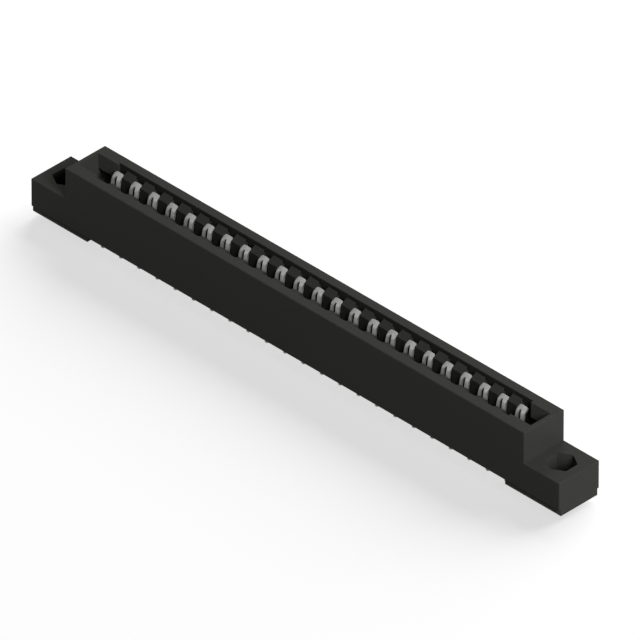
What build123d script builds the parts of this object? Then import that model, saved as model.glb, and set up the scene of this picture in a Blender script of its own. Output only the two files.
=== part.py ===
import os

from build123d import *

os.makedirs("parts", exist_ok=True)

# A double row card edge connector, in millimetres.
# X runs along the rows, Y across them from front to rear, and Z points up out of the card slot.
# The origin lies midway between the mounting holes, on the plane that the pads stand on.

# Rows of contacts
positions = 23
pitch = 3.9624
row_spacing = 3.81

# Housing, outside
housing_depth = 8.66
body_height = 10.67
ear_height = 5.03
ear_length = 7.5
end_wall = 0.75
edge_bevel = 0.1
pad_height = 1.2
pad_length = 11.9
pad_inset = 0.4

# Housing, inside: depths are measured down from the top
side_wall = 1.65
cavity_width = 1.98
mouth_width = 2.16
barrier_drop = 0.44
ramp_depth = 1.09
groove_width = 0.3
groove_depth = 1.2
pocket_length = 4.2
pocket_width = 4.26
pocket_lip = 2.75
guide_width = 1.85
guide_depth = 4.6
slot_depth = 8.2

# Mounting holes
hole_from_end = 3.8
hole_diameter = 3.25
nut_across_flats = 4.4
nut_depth = 3.3

# Contacts: heights are given as depths below the top, as for the housing
strip_thickness = 0.32
strip_width = 1.86
tip_depth = 0.74
tip_reach = 1.78
shoulder_depth = 1.48
shoulder_reach = 0.65
nose_depth = 3.2
nose_reach = 0.4
heel_depth = 7.6
shoulder_radius = 1.0
nose_radius = 1.2
tip_corner = 0.2
slit_mouth = 0.3
slit_width = 0.75
slit_bottom = 4.6
fork_depth = 1.2
tail_width = 0.76
tail_length = 2.35
tail_tip_width = 0.5
tail_clearance = 0.05

# Worked out from the sizes above
row_length = (positions - 1) * pitch
contact_region = row_length + cavity_width
slot_length = contact_region + 2 * pocket_length
body_length = slot_length + 2 * end_wall
overall_length = body_length + 2 * ear_length
hole_spacing = overall_length - 2 * hole_from_end
cavity_reach = housing_depth / 2 - side_wall
barrier_reach = cavity_reach - groove_width
underside = pad_height
ear_top = underside + ear_height
top = underside + body_height
tail_tip = underside - tail_length
floor_top = top - slot_depth

# The housing is one moulding
with BuildPart() as housing:
    # block with an ear at each end, from its front outline
    with BuildSketch(Plane.XZ):
        with BuildLine():
            Polyline(
                (0, underside),
                (overall_length / 2, underside),
                (overall_length / 2, ear_top),
                (body_length / 2, ear_top),
                (body_length / 2, top),
                (0, top),
            )
            mirror(about=Plane.YZ)
        make_face()
    extrude(amount=housing_depth / 2, both=True)
    above_underside = housing.edges() - housing.edges().group_by(Axis.Z)[0]
    chamfer(above_underside.filter_by(lambda edge: not edge.is_interior), length=edge_bevel)

    # standoff pads under the ends
    with BuildSketch(Plane.XY):
        with GridLocations(overall_length - pad_length, 0, 2, 1):
            Rectangle(pad_length, housing_depth - 2 * pad_inset)
    extrude(amount=pad_height)

    # card guide, the full length of the slot
    with BuildSketch(Plane.XY.offset(top)):
        Rectangle(slot_length, guide_width)
    extrude(amount=-slot_depth, mode=Mode.SUBTRACT)

    # mouth of the slot above it: the barriers stop short of the top and slope down towards the card
    with BuildSketch(Plane.YZ):
        with BuildLine():
            Polyline(
                (0, top),
                (cavity_reach, top),
                (cavity_reach, top - barrier_drop),
                (barrier_reach, top - barrier_drop),
                (mouth_width / 2, top - ramp_depth),
                (mouth_width / 2, top - guide_depth),
                (0, top - guide_depth),
            )
            mirror(about=Plane.YZ)
        make_face()
    extrude(amount=contact_region / 2, both=True, mode=Mode.SUBTRACT)

    # open pocket at each end of the slot, wider below its lip
    with BuildSketch(Plane.XY.offset(top)):
        with GridLocations(contact_region + pocket_length, 0, 2, 1):
            Rectangle(pocket_length, pocket_width)
    extrude(amount=-pocket_lip, mode=Mode.SUBTRACT)
    with BuildSketch(Plane.XY.offset(top - pocket_lip)):
        with GridLocations(contact_region + pocket_length, 0, 2, 1):
            Rectangle(pocket_length, 2 * cavity_reach)
    extrude(amount=-(guide_depth - pocket_lip), mode=Mode.SUBTRACT)

    # a groove parts the barriers from the side walls
    with BuildSketch(Plane.XY.offset(top)):
        with GridLocations(0, cavity_reach + barrier_reach, 1, 2):
            Rectangle(contact_region, groove_width)
    extrude(amount=-groove_depth, mode=Mode.SUBTRACT)

    # one cavity for each pair of contacts
    with BuildSketch(Plane.XY.offset(top)):
        with GridLocations(pitch, 0, positions, 1):
            Rectangle(cavity_width, 2 * cavity_reach)
    extrude(amount=-slot_depth, mode=Mode.SUBTRACT)

    # slits in the floor that the tails pass through
    with BuildSketch(Plane.XY.offset(floor_top)):
        with GridLocations(pitch, row_spacing, positions, 2):
            Rectangle(tail_width + 2 * tail_clearance, strip_thickness + 2 * tail_clearance)
    extrude(amount=-floor_top, mode=Mode.SUBTRACT)

    # hexagonal nut recess and clearance hole in each ear
    with BuildSketch(Plane.XY.offset(ear_top)):
        with GridLocations(hole_spacing, 0, 2, 1):
            RegularPolygon(radius=nut_across_flats / 2, side_count=6, major_radius=False, rotation=30)
    extrude(amount=-nut_depth, mode=Mode.SUBTRACT)
    with BuildSketch(Plane.XY.offset(ear_top)):
        with GridLocations(hole_spacing, 0, 2, 1):
            Circle(hole_diameter / 2)
    extrude(amount=-ear_top, mode=Mode.SUBTRACT)

housing.part.label = "housing"
export_step(housing.part, "parts/housing.step")


# One contact, as it stands in the rear row at the middle of the connector
heel_reach = row_spacing / 2 - strip_thickness / 2
with BuildPart() as contact:
    # side view: the strip's card side, from the tip over the nose to the tail, thickened away from the card
    with BuildSketch(Plane.YZ):
        with BuildLine():
            FilletPolyline(
                (tip_reach, top - tip_depth),
                (shoulder_reach, top - shoulder_depth),
                (nose_reach, top - nose_depth),
                (heel_reach, top - heel_depth),
                radius=[shoulder_radius, nose_radius],
            )
            Line((heel_reach, top - heel_depth), (heel_reach, tail_tip))
            offset(amount=strip_thickness, side=Side.LEFT)
        make_face()
    extrude(amount=strip_width / 2, both=True)

    # front view: a forked blade with bevelled tips down to the floor, then the narrower, tapered tail
    with BuildSketch(Plane.XZ):
        with BuildLine():
            Polyline(
                (0, top - slit_bottom),
                (slit_width / 2, top - slit_bottom),
                (slit_width / 2, top - fork_depth),
                (slit_mouth / 2, top - tip_depth),
                (strip_width / 2 - tip_corner, top - tip_depth),
                (strip_width / 2, top - tip_depth - tip_corner),
                (strip_width / 2, floor_top),
                (tail_width / 2, floor_top),
                (tail_tip_width / 2, tail_tip),
                (0, tail_tip),
            )
            mirror(about=Plane.YZ)
        make_face()
    extrude(amount=housing_depth / 2, both=True, mode=Mode.INTERSECT)

# The front row is the same piece turned about
for row, turn in (("rear", 0), ("front", 180)):
    for place in range(positions):
        with BuildPart() as placed:
            with Locations((place * pitch - row_length / 2, 0, 0)):
                add(contact.part, rotation=(0, 0, turn))
        placed.part.label = f"contact_{row}_{place + 1:02d}"
        export_step(placed.part, f"parts/{placed.part.label}.step")
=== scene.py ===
import math

import bmesh
import bpy
from mathutils import Matrix, Vector


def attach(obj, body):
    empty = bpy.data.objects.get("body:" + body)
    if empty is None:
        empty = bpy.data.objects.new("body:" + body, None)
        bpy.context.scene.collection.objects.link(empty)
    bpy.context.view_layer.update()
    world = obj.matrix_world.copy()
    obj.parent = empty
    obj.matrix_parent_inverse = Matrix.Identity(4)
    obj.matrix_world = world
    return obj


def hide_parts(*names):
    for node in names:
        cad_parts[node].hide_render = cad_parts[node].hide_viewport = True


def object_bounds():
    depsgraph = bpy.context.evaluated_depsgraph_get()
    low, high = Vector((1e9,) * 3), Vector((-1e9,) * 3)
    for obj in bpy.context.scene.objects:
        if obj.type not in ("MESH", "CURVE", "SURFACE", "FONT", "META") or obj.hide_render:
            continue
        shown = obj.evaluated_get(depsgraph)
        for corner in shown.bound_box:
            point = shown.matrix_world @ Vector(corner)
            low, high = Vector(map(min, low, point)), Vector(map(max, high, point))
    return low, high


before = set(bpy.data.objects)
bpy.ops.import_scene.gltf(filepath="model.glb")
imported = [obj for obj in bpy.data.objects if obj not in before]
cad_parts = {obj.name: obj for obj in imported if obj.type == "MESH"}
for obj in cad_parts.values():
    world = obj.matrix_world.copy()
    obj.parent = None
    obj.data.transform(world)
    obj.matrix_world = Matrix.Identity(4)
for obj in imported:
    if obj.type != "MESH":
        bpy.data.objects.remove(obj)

cadLow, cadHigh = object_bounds()  # the box of the solids, before anything is dressed
print("frame loaded:", len(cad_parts), "nodes")

perMetre = 1000  # the object's own sizes below are in millimetres


def addNode(tree, kind, label, **settings):
    node = tree.nodes.new(kind)
    node.label = label
    for name, value in settings.items():
        setattr(node, name, value)
    return node


def setInputs(node, **values):
    for name, value in values.items():
        node.inputs[name.replace("_", " ")].default_value = value


def link(tree, source, target):
    tree.links.new(source, target)


def addMath(tree, operation, label, *values):
    node = addNode(tree, "ShaderNodeMath", label, operation=operation)
    for socket, value in zip(node.inputs, values):  # each value is a number or another node's output
        if isinstance(value, bpy.types.NodeSocket):
            link(tree, value, socket)
        else:
            socket.default_value = value
    return node.outputs[0]


def addRange(tree, label, value, **limits):
    node = addNode(tree, "ShaderNodeMapRange", label)
    setInputs(node, **limits)
    link(tree, value, node.inputs["Value"])
    return node.outputs["Result"]


def clearedTree(owner):
    owner.use_nodes = True
    owner.node_tree.nodes.clear()
    return owner.node_tree


def colour(grey, warmth=0.0):
    return (grey * (1 + warmth), grey, grey * (1 - warmth), 1.0)


# Grain that the plastic and the plating share: a tone that varies about 1, and a height for the bump
grainSettings = {
    "inputs": {"Grain Size": 0.1, "Patch Size": 4.0, "Contrast": 0.1},  # each finish gives its own
    "noiseDetail": 3.0,
    "noiseRoughness": 0.55,
    "toneRange": (0.9, 1.1),  # the tones at which a finish is least and most rough
}


def makeSurfaceGrain(settings):
    group = bpy.data.node_groups.new("surfaceGrain", "ShaderNodeTree")
    for name, value in settings["inputs"].items():
        socket = group.interface.new_socket(name, in_out="INPUT", socket_type="NodeSocketFloat")
        socket.default_value = value
    for name in ("Tone", "Height"):
        group.interface.new_socket(name, in_out="OUTPUT", socket_type="NodeSocketFloat")
    start = addNode(group, "NodeGroupInput", "In")
    end = addNode(group, "NodeGroupOutput", "Out")
    place = addNode(group, "ShaderNodeTexCoord", "Place")

    noises = {}
    for label in ("Grain", "Patch"):
        scale = addMath(group, "DIVIDE", label + " per metre", perMetre, start.outputs[label + " Size"])
        noise = addNode(group, "ShaderNodeTexNoise", label)
        setInputs(noise, Detail=settings["noiseDetail"], Roughness=settings["noiseRoughness"])
        link(group, place.outputs["Object"], noise.inputs["Vector"])
        link(group, scale, noise.inputs["Scale"])
        noises[label] = noise.outputs["Fac"]

    both = addMath(group, "ADD", "Grain and patches", noises["Grain"], noises["Patch"])
    centred = addMath(group, "SUBTRACT", "About zero", both, 1.0)
    tone = addMath(group, "MULTIPLY_ADD", "Tone", centred, start.outputs["Contrast"], 1.0)
    link(group, tone, end.inputs["Tone"])
    link(group, noises["Grain"], end.inputs["Height"])
    return group


surfaceGrain = makeSurfaceGrain(grainSettings)


def newMaterial(name, finish):
    material = bpy.data.materials.new(name)
    tree = clearedTree(material)
    output = addNode(tree, "ShaderNodeOutputMaterial", "Surface")
    shader = addNode(tree, "ShaderNodeBsdfPrincipled", "Finish")
    setInputs(shader, **finish["shader"])
    link(tree, shader.outputs["BSDF"], output.inputs["Surface"])

    grain = addNode(tree, "ShaderNodeGroup", "Surface grain", node_tree=surfaceGrain)
    setInputs(grain, **finish["grain"])
    tone = grain.outputs["Tone"]
    smoothTone, roughTone = grainSettings["toneRange"]
    smoothest = finish["roughness"] - finish["roughnessSpread"]
    roughest = finish["roughness"] + finish["roughnessSpread"]
    rough = addRange(tree, "Roughness", tone,
                     From_Min=smoothTone, From_Max=roughTone, To_Min=smoothest, To_Max=roughest)
    link(tree, rough, shader.inputs["Roughness"])

    bump = addNode(tree, "ShaderNodeBump", "Skin")
    setInputs(bump, Strength=finish["bumpStrength"], Distance=finish["bumpDepth"] / perMetre)
    link(tree, grain.outputs["Height"], bump.inputs["Height"])
    link(tree, bump.outputs["Normal"], shader.inputs["Normal"])
    return material, tree, shader, tone


def paint(tree, shader, tone, base):
    mixed = addNode(tree, "ShaderNodeMix", "Tone on colour", data_type="RGBA", blend_type="MULTIPLY")
    setInputs(mixed, Factor=1.0, A=base)
    link(tree, tone, mixed.inputs["B"])
    link(tree, mixed.outputs["Result"], shader.inputs["Base Color"])


# Housing: black glass-filled moulding with a satin skin
housingFinish = {
    "colour": (0.0346, 0.0350, 0.0319, 1.0),
    "shader": {"Specular IOR Level": 0.04},
    "roughness": 0.5,
    "roughnessSpread": 0.06,
    "bumpStrength": 0.35,
    "bumpDepth": 0.004,
    "grain": {"Grain Size": 0.12, "Patch Size": 6.0, "Contrast": 0.18},
    # painted shade: walls within reach of each other are painted darker, fully up to the openness "closed", and
    # not at all from "open" on
    "recess": {"reach": 1.4, "samples": 12, "open": 0.5, "closed": 0.1, "tone": 0.45},
    # regions painted darker or lighter in place of light and shade: painted shade inside the slot and in the
    # nut recesses, painted light on the pocket walls and the pad fronts. Distances from the middle, and the
    # height that they begin below
    "paintedLightAndShadeRegions": [
        # painted shade over the faces inside the slot
        {"name": "Painted shade inside the slot", "along": (0, 44.58), "across": 2.69,
         "below": 11.84, "fade": 0.3, "tone": 0.70},
        # painted light on the walls of the end pockets that face across
        {"name": "Painted light on pocket walls", "along": (44.6, 48.9), "across": 2.4,
         "below": 11.87, "fade": 0.1, "tone": 1.95, "wallsOnly": True},
        # painted shade in the nut recesses of the ears
        {"name": "Nut recesses", "along": (50.4, 56.2), "across": 2.6,
         "below": 5.7, "fade": 2.3, "tone": 0.5},
        # painted light on the pad fronts, which stand in the housing's shadow
        {"name": "Painted light on pad fronts", "along": (44, 58), "across": 4.0,
         "below": 1.2, "fade": 0.02, "tone": 2.0, "wallsOnly": True},
    ],
    "wallFacing": 0.5,  # how far a normal leans across the connector where a face counts as a wall
}


# Painted shade: the colour is darkened where the occlusion test finds walls near, in grooves, cavities and
# corners
def recessTone(tree, recess):
    openness = addNode(tree, "ShaderNodeAmbientOcclusion", "Openness",
                       samples=recess["samples"], only_local=True)
    setInputs(openness, Distance=recess["reach"] / perMetre)
    return addRange(tree, "Painted recess shade", openness.outputs["AO"],
                    From_Min=recess["closed"], From_Max=recess["open"], To_Min=recess["tone"], To_Max=1.0)


def placeOnHousing(tree):
    coordinates = addNode(tree, "ShaderNodeTexCoord", "Place")
    where = addNode(tree, "ShaderNodeSeparateXYZ", "Where")
    link(tree, coordinates.outputs["Object"], where.inputs[0])
    geometry = addNode(tree, "ShaderNodeNewGeometry", "Geometry")
    facing = addNode(tree, "ShaderNodeSeparateXYZ", "Facing")
    link(tree, geometry.outputs["True Normal"], facing.inputs[0])
    return {
        "along": addMath(tree, "ABSOLUTE", "Along", where.outputs["X"]),
        "across": addMath(tree, "ABSOLUTE", "Across", where.outputs["Y"]),
        "height": where.outputs["Z"],
        "facing": addMath(tree, "ABSOLUTE", "Facing across", facing.outputs["Y"]),
    }


# Painted light and shade: scales the colour inside a box of the housing, fading in below a height
def paintedRegionLightAndShade(tree, place, region, wallFacing):
    nearEnd, farEnd = region["along"]
    tests = [
        ("along", "GREATER_THAN", nearEnd / perMetre),
        ("along", "LESS_THAN", farEnd / perMetre),
        ("across", "LESS_THAN", region["across"] / perMetre),
    ]
    if region.get("wallsOnly"):
        tests.append(("facing", "GREATER_THAN", wallFacing))
    share = addRange(tree, "Depth", place["height"], From_Min=region["below"] / perMetre,
                     From_Max=(region["below"] - region["fade"]) / perMetre)
    for measure, test, limit in tests:
        inside = addMath(tree, test, test.lower(), place[measure], limit)
        share = addMath(tree, "MULTIPLY", "Share", share, inside)
    return addRange(tree, region["name"], share, To_Min=1.0, To_Max=region["tone"])


def makeHousingMaterial(finish):
    material, tree, shader, tone = newMaterial("mouldedPlastic", finish)
    place = placeOnHousing(tree)
    paintedLightAndShade = [recessTone(tree, finish["recess"])]
    paintedLightAndShade += [paintedRegionLightAndShade(tree, place, region, finish["wallFacing"]) for region in finish["paintedLightAndShadeRegions"]]
    # the grain's tone is multiplied by the painted shade and the painted light
    for other in paintedLightAndShade:
        tone = addMath(tree, "MULTIPLY", "Grain times painted light and shade", tone, other)
    paint(tree, shader, tone, finish["colour"])
    return material


# Contacts: tin plate over a copper alloy strip
contactFinish = {
    "colour": colour(0.33, 0.012),
    "shader": {"Metallic": 0.2},
    "roughness": 0.5,
    "roughnessSpread": 0.07,
    "bumpStrength": 0.4,
    "bumpDepth": 0.003,
    "grain": {"Grain Size": 0.08, "Patch Size": 0.5, "Contrast": 0.45},
}


def makeContactMaterial(finish):
    material, tree, shader, tone = newMaterial("tinPlate", finish)
    paint(tree, shader, tone, finish["colour"])
    return material


# Contacts as stamped springs, whose slit is closed at the tip. Tables go from a depth below the top to a value
contactShape = {
    # card side of the strip: reach from the middle of the slot, depth, radius of the bend
    "bends": [
        (1.68, 0.81, 0),
        (0.65, 1.48, 1.0),
        (0.40, 3.20, 1.2),
        (1.745, 7.60, 2.0),
        (1.745, 11.95, 0.6),
        (1.97, 13.02, 0),
    ],
    "bendSteps": 6,
    "thickness": 0.32,
    "halfWidths": [
        (0.81, 0.62), (0.84, 0.72), (0.91, 0.82), (1.02, 0.86), (1.70, 0.86), (2.30, 0.92), (8.20, 0.92),
    ],
    "slitHalfWidths": [
        (1.22, 0.08), (1.26, 0.14), (1.38, 0.21), (1.80, 0.30), (4.50, 0.30), (4.56, 0.20), (4.60, 0.08),
    ],
    "tailHalfWidths": [(8.20, 0.38), (13.02, 0.25)],
    "crown": [(0.0, 0.14), (4.5, 0.14), (6.0, 0.0)],  # how far the outer edges of the tines stand back
    "drop": {"rear": 0.0, "front": 0.58},  # the photograph shows nothing of the front row over the wall
    "dropAbove": 3.5,  # only what lies above this depth is lowered
    "places": 23,
    "pitch": 3.9624,
    "top": 11.87,
    "leastStep": 0.01,  # a row of the mesh no further than this from another is left out
    "leastBand": 0.02,  # between the slit's side and the tail's
    "slopeStep": 0.02,  # the slope at a depth is measured from this much above it to as much below
    "smoothAngle": 35.0,
}

# the strip's mesh has five bands from side to side
slitBand = 2
outerBands = (0, 4)


def between(table, depth):
    if depth <= table[0][0]:
        return table[0][1]
    for (depthA, valueA), (depthB, valueB) in zip(table, table[1:]):
        if depth <= depthB:
            return valueA + (valueB - valueA) * (depth - depthA) / (depthB - depthA)
    return table[-1][1]


def bentLine(bends, steps):
    points = [Vector(bends[0][:2])]
    for before, (reach, depth, radius), after in zip(bends, bends[1:], bends[2:]):
        corner = Vector((reach, depth))
        back = (Vector(before[:2]) - corner).normalized()
        ahead = (Vector(after[:2]) - corner).normalized()
        half = back.angle(ahead) / 2
        centre = corner + (back + ahead).normalized() * radius / math.sin(half)
        start = corner + back * radius / math.tan(half) - centre
        end = corner + ahead * radius / math.tan(half) - centre
        for step in range(steps + 1):
            share = step / steps
            ray = start * (1 - share) + end * share
            points.append(centre + ray.normalized() * radius)
    points.append(Vector(bends[-1][:2]))
    return points


def lowered(shape, drop):
    def newDepth(depth):
        return depth + drop if depth < shape["dropAbove"] else depth
    changed = dict(shape)
    changed["bends"] = [(reach, newDepth(depth), radius) for reach, depth, radius in shape["bends"]]
    for table in ("halfWidths", "slitHalfWidths"):
        changed[table] = [(newDepth(depth), value) for depth, value in shape[table]]
    return changed


def rowDepths(shape, line):
    depths = {depth for table in ("halfWidths", "slitHalfWidths", "tailHalfWidths")
              for depth, value in shape[table]}
    for point in line:
        if min(abs(point.y - depth) for depth in depths) > shape["leastStep"]:
            depths.add(round(point.y, 4))
    return sorted(depths)


def addRow(mesh, shape, reachAt, depth, atTip):
    step = shape["slopeStep"]
    start = depth if atTip else depth - step
    slope = (between(reachAt, start + 2 * step) - between(reachAt, start)) / (2 * step)
    away = Vector((0, 1, slope)).normalized()  # from the card side into the strip
    slit = between(shape["slitHalfWidths"], depth)
    tail = max(between(shape["tailHalfWidths"], depth), slit + shape["leastBand"])
    outer = between(shape["halfWidths"], depth)
    crown = between(shape["crown"], depth)
    sides = []
    for thickness in (0, shape["thickness"]):
        verts = []
        for x in (-outer, -tail, -slit, slit, tail, outer):
            back = thickness + crown * (abs(x) - slit) / (outer - slit)
            place = Vector((x, between(reachAt, depth), shape["top"] - depth)) + away * back
            verts.append(mesh.verts.new(place / perMetre))
        sides.append(verts)
    return sides


def filledCells(shape, depths):
    slitTop, slitBottom = shape["slitHalfWidths"][0][0], shape["slitHalfWidths"][-1][0]
    tailTop = shape["tailHalfWidths"][0][0]
    filled = set()
    for index, (upper, lower) in enumerate(zip(depths, depths[1:])):
        for band in range(outerBands[-1] + 1):
            inSlit = band == slitBand and slitTop <= upper and lower <= slitBottom
            besideTail = band in outerBands and upper >= tailTop
            if not inSlit and not besideTail:
                filled.add((index, band))
    return filled


def addCell(mesh, rows, filled, index, band):
    # corners of the cell, each on the card side and on the back
    topLeft, topRight, lowLeft, lowRight = (
        [side[column] for side in rows[row]]
        for row in (index, index + 1) for column in (band, band + 1)
    )
    mesh.faces.new((lowLeft[0], lowRight[0], topRight[0], topLeft[0]))
    mesh.faces.new((topLeft[1], topRight[1], lowRight[1], lowLeft[1]))
    rims = (
        ((index - 1, band), topLeft, topRight),
        ((index + 1, band), lowRight, lowLeft),
        ((index, band - 1), lowLeft, topLeft),
        ((index, band + 1), topRight, lowRight),
    )
    for neighbour, first, second in rims:
        if neighbour not in filled:
            mesh.faces.new((first[0], second[0], second[1], first[1]))


def contactMesh(shape):
    line = bentLine(shape["bends"], shape["bendSteps"])
    reachAt = [(point.y, point.x) for point in line]
    depths = rowDepths(shape, line)
    mesh = bmesh.new()
    rows = [addRow(mesh, shape, reachAt, depth, depth == depths[0]) for depth in depths]
    filled = filledCells(shape, depths)
    for index, band in sorted(filled):
        addCell(mesh, rows, filled, index, band)
    bmesh.ops.delete(mesh, geom=[vert for vert in mesh.verts if not vert.link_faces], context="VERTS")
    bmesh.ops.recalc_face_normals(mesh, faces=mesh.faces)
    data = bpy.data.meshes.new("contactSpring")
    mesh.to_mesh(data)
    mesh.free()
    data.shade_smooth()
    data.set_sharp_from_angle(angle=math.radians(shape["smoothAngle"]))
    return data


def makeContacts(shape, material):
    pieces = []
    for row, turn in (("rear", 0.0), ("front", math.pi)):
        spring = contactMesh(lowered(shape, shape["drop"][row]))
        spring.materials.append(material)
        for place in range(shape["places"]):
            along = (place - (shape["places"] - 1) / 2) * shape["pitch"] / perMetre
            mesh = spring.copy()
            mesh.transform(Matrix.Translation((along, 0, 0)) @ Matrix.Rotation(turn, 4, "Z"))
            piece = bpy.data.objects.new(f"spring_{row}_{place + 1:02d}", mesh)
            bpy.context.scene.collection.objects.link(piece)
            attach(piece, "root")
            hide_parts(f"contact_{row}_{place + 1:02d}")
            pieces.append(piece)
    return pieces


housingMaterial = makeHousingMaterial(housingFinish)
contactMaterial = makeContactMaterial(contactFinish)
for nodeName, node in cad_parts.items():
    node.data.materials.clear()
    node.data.materials.append(housingMaterial if nodeName == "housing" else contactMaterial)
contacts = makeContacts(contactShape, contactMaterial)
print("housing dressed,", len(contacts), "contacts made")


# Studio: a pale floor at the solder tails, a white surround and four soft lamps. Its sizes are in metres
studio = {
    "floorSize": 60.0,
    "floorColour": colour(0.80),
    "floorColourForBounce": colour(0.28),
    "floorGlow": 0.65,
    "ambient": 0.065,
    "lampDistance": 1.2,
}


def seenDirectly(tree):
    path = addNode(tree, "ShaderNodeLightPath", "Ray kind")
    seen = addMath(tree, "MAXIMUM", "Camera or glossy",
                   path.outputs["Is Camera Ray"], path.outputs["Is Glossy Ray"])
    return addMath(tree, "MAXIMUM", "Or transmitted", seen, path.outputs["Is Transmission Ray"])


def makeFloor(settings, height):
    bpy.ops.mesh.primitive_plane_add(size=settings["floorSize"], location=(0, 0, height))
    floor = bpy.context.object
    floor.name = "floor"
    material = bpy.data.materials.new("paleFloor")
    tree = clearedTree(material)
    output = addNode(tree, "ShaderNodeOutputMaterial", "Surface")
    seen = seenDirectly(tree)
    floorColour = addNode(tree, "ShaderNodeMix", "Floor colour", data_type="RGBA")
    setInputs(floorColour, A=settings["floorColourForBounce"], B=settings["floorColour"])
    link(tree, seen, floorColour.inputs["Factor"])
    matt = addNode(tree, "ShaderNodeBsdfDiffuse", "Matt")
    link(tree, floorColour.outputs["Result"], matt.inputs["Color"])
    white = addNode(tree, "ShaderNodeEmission", "White")
    glow = addMath(tree, "MULTIPLY", "Glow where seen", seen, settings["floorGlow"])
    link(tree, glow, white.inputs["Strength"])
    both = addNode(tree, "ShaderNodeAddShader", "Floor")
    link(tree, matt.outputs[0], both.inputs[0])
    link(tree, white.outputs[0], both.inputs[1])
    link(tree, both.outputs[0], output.inputs["Surface"])
    floor.data.materials.append(material)
    return floor


def makeSurround(settings):
    world = bpy.data.worlds.new("studio")
    bpy.context.scene.world = world
    tree = clearedTree(world)
    output = addNode(tree, "ShaderNodeOutputWorld", "World")
    background = addNode(tree, "ShaderNodeBackground", "Surround")
    setInputs(background, Color=(1, 1, 1, 1))
    level = addRange(tree, "Level", seenDirectly(tree), To_Min=settings["ambient"], To_Max=1.0)
    link(tree, level, background.inputs["Strength"])
    link(tree, background.outputs[0], output.inputs["Surface"])


def standFacing(name, data, aim, direction, distance):
    thing = bpy.data.objects.new(name, data)
    thing.location = aim + direction * distance
    thing.rotation_mode = "QUATERNION"
    thing.rotation_quaternion = (-direction).to_track_quat("-Z", "Y")
    bpy.context.scene.collection.objects.link(thing)
    return thing


def makeLamp(name, settings, aim, distance, pieces):
    light = bpy.data.lights.new(name, "AREA")
    light.shape = "SQUARE"
    light.size = settings["size"]
    # a level of 1 lights a surface that faces the lamp so that its colour shows as written
    light.energy = settings["level"] * (math.pi * distance) ** 2
    lamp = standFacing(name, light, aim, Vector(settings["direction"]).normalized(), distance)
    lamp.visible_glossy = settings["sheen"]
    receivers = bpy.data.collections.new(name + "Lights")
    for piece in pieces:
        receivers.objects.link(piece)
    lamp.light_linking.receiver_collection = receivers


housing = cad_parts["housing"]
floor = makeFloor(studio, cadLow.z)
makeSurround(studio)

# Each lamp lights only the pieces named beside it
lamps = {
    "keySoftbox": ({"direction": (0.772, -0.200, 0.603), "size": 0.5, "level": 1.33, "sheen": True}, [housing]),
    # keeps the far sides from going black, and leaves no sheen on the top faces
    "fillSoftbox": ({"direction": (-0.45, 0.75, 0.48), "size": 0.8, "level": 0.38, "sheen": False},
                    [housing, *contacts]),
    # reaches down between the walls
    "contactSoftbox": ({"direction": (0.42, -0.61, 0.67), "size": 0.5, "level": 0.82, "sheen": True}, contacts),
    # casts the shadow in front
    "floorSoftbox": ({"direction": (-0.08, 0.86, 0.51), "size": 1.4, "level": 1.15, "sheen": True}, [floor]),
}
for lampName, (lampSettings, lit) in lamps.items():
    makeLamp(lampName, lampSettings, (cadLow + cadHigh) / 2, studio["lampDistance"], lit)
print("studio ready")


# Camera: the photograph is an isometric view, so the lens is very long and far away
cameraSetup = {
    "azimuth": 45.0,
    "elevation": math.degrees(math.atan(1 / math.sqrt(2))),
    "lens": 1500.0,
    "sensor": 36.0,
    "pixelsPerMetre": 6553.0,
    "photoWidth": 640,
    "aim": (0.00083, 0.00068, 0.00600),
    "clipFactor": 10,  # it sees from this many times nearer to this many times farther than the object
}


def makeCamera(setup):
    azimuth = math.radians(setup["azimuth"])
    elevation = math.radians(setup["elevation"])
    direction = Vector((
        math.sin(azimuth) * math.cos(elevation),
        -math.cos(azimuth) * math.cos(elevation),
        math.sin(elevation),
    ))
    viewWidth = setup["photoWidth"] / setup["pixelsPerMetre"]
    distance = viewWidth * setup["lens"] / setup["sensor"]
    data = bpy.data.cameras.new("camera")
    data.lens = setup["lens"]
    data.sensor_width = setup["sensor"]
    data.clip_start = distance / setup["clipFactor"]
    data.clip_end = distance * setup["clipFactor"]
    bpy.context.scene.camera = standFacing("camera", data, Vector(setup["aim"]), direction, distance)


makeCamera(cameraSetup)
bpy.context.scene.view_settings.view_transform = "Standard"
print("camera set")
